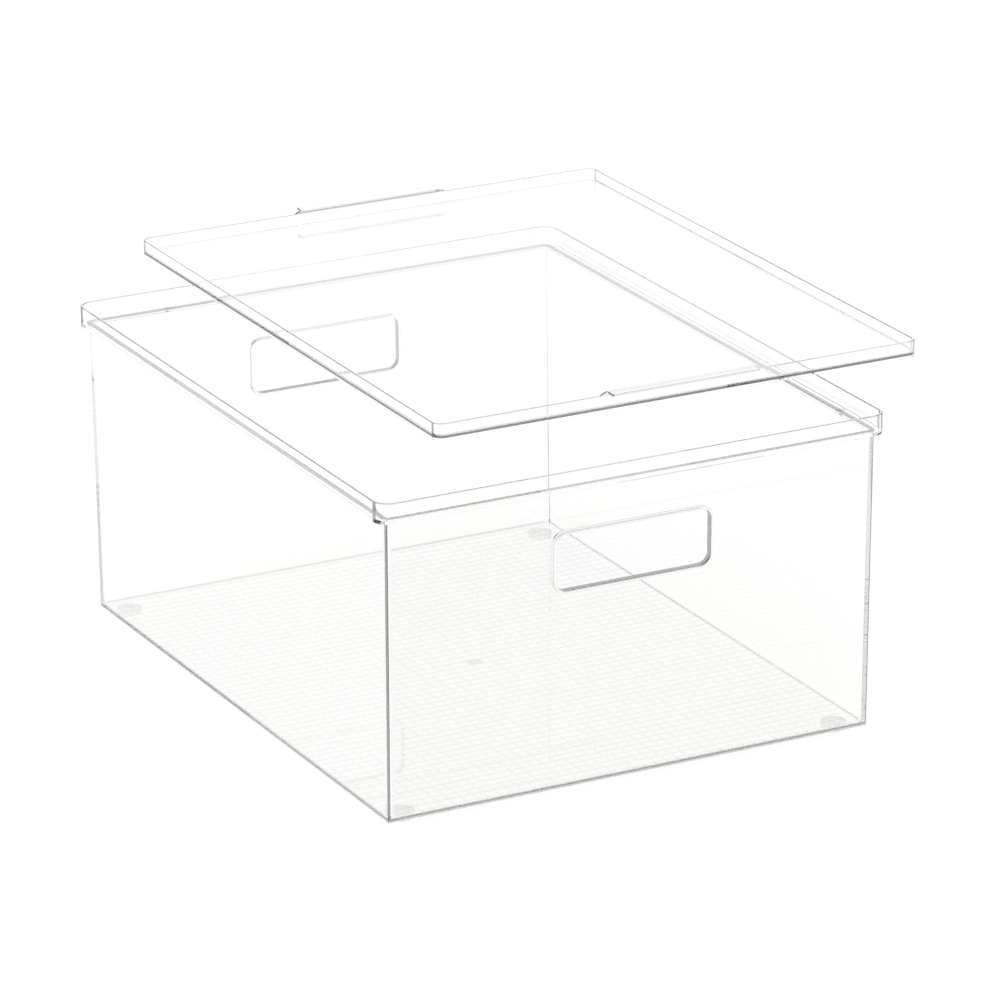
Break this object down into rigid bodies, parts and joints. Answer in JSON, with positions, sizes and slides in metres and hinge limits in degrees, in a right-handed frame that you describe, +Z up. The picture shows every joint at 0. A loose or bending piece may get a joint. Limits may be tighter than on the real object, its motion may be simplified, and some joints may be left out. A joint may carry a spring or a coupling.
{
  "type": "storage box",
  "caption": "Clear rectangular storage box: a deep bin with a hand hole in each end, round clear feet, and a shallow tray lid set down askew on its rim.",
  "frame": {"origin": "centre of the whole object's footprint, with the lid set down askew, on the surface that the feet stand on", "axes": "+Z up, +Y along the bin's long sides towards the rear hand hole, +X along the bin's short ends to the right"},
  "size_m": [0.3474, 0.4312, 0.1859],
  "materials": {
    "clear_plastic": "polished clear moulding",
    "clear_rubber": "satin clear pad"
  },
  "bodies": {
    "bin": {"bin": "clear_plastic", "foot_front_left": "clear_rubber", "foot_front_right": "clear_rubber", "foot_rear_left": "clear_rubber", "foot_rear_right": "clear_rubber"},
    "lid": {"lid": "clear_plastic"}
  },
  "joints": [
    {"name": "lid_lift", "type": "slide", "parent": "bin", "child": "lid", "axis": [0, 0, 1], "range_m": [0, 0.15]}
  ]
}
